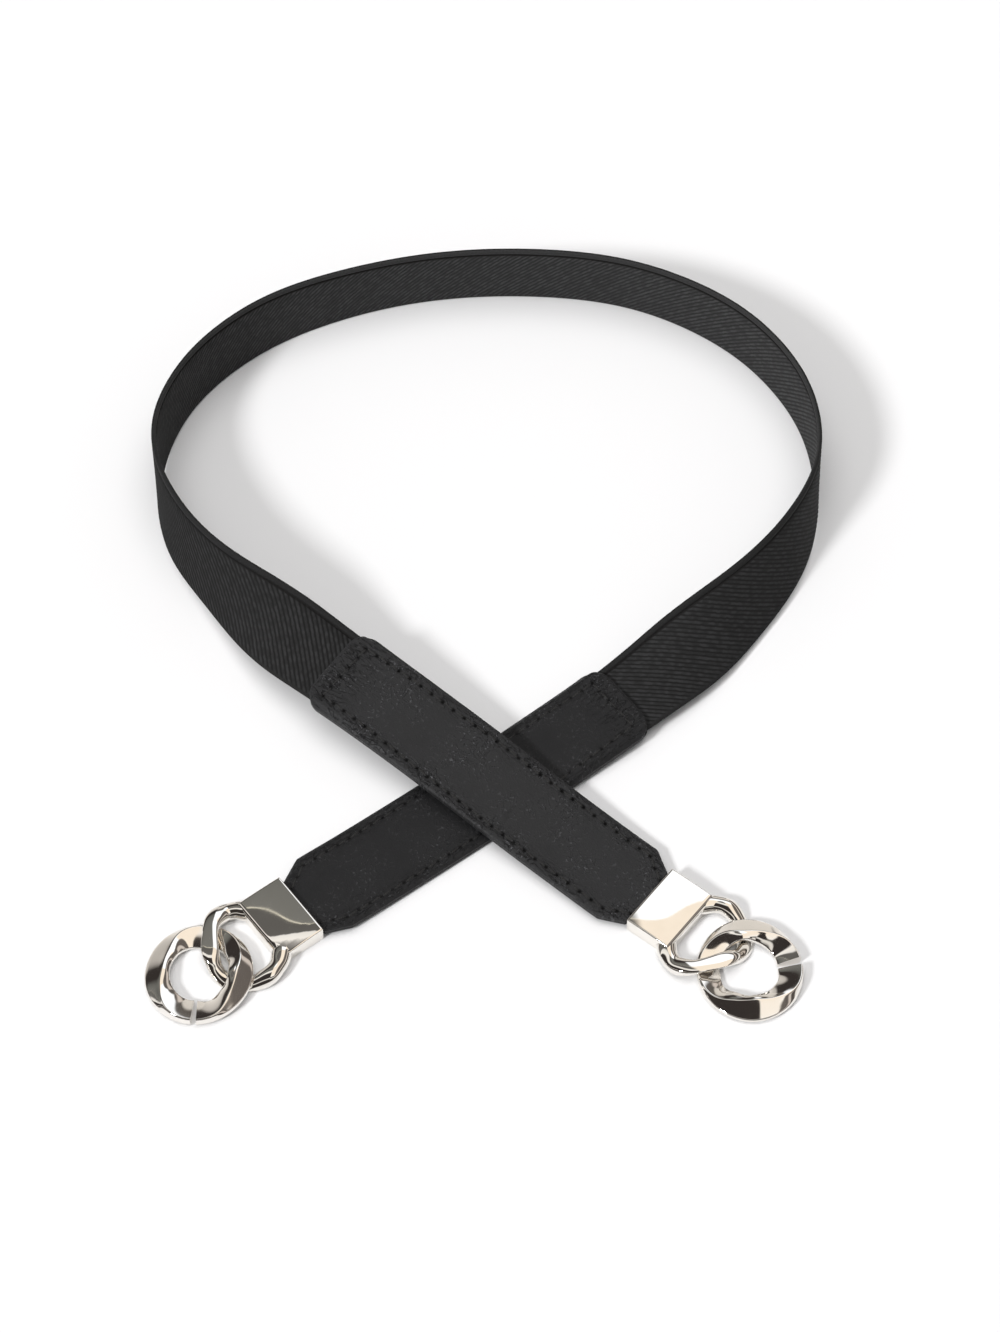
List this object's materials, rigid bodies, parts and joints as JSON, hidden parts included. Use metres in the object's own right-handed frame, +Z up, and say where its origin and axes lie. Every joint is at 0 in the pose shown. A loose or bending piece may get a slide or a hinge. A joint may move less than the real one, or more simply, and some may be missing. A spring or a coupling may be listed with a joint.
{
  "type": "elastic waist belt",
  "caption": "Elastic waist belt lying with its ends crossed: each end has a leather tab in a cast metal clamp whose half curb link holds a split curb ring.",
  "frame": {"origin": "on the table, below the middle of the belt's box", "axes": "+Z up from the table, +Y towards the back of the waist loop, +X to the right as seen from the crossed ends"},
  "size_m": [0.2075, 0.2713, 0.0276],
  "materials": {
    "elastic": "black woven elastic with fine slanting ribs",
    "leather": "black imitation leather, fine grain, matte, stitched",
    "metal": "polished silver-coloured plating"
  },
  "bodies": {
    "root": {"elastic_band": "elastic", "left_tab_face": "leather", "left_tab_lining": "leather", "left_clamp": "metal", "left_ring": "metal", "right_tab_face": "leather", "right_tab_lining": "leather", "right_clamp": "metal", "right_ring": "metal"}
  },
  "joints": []
}
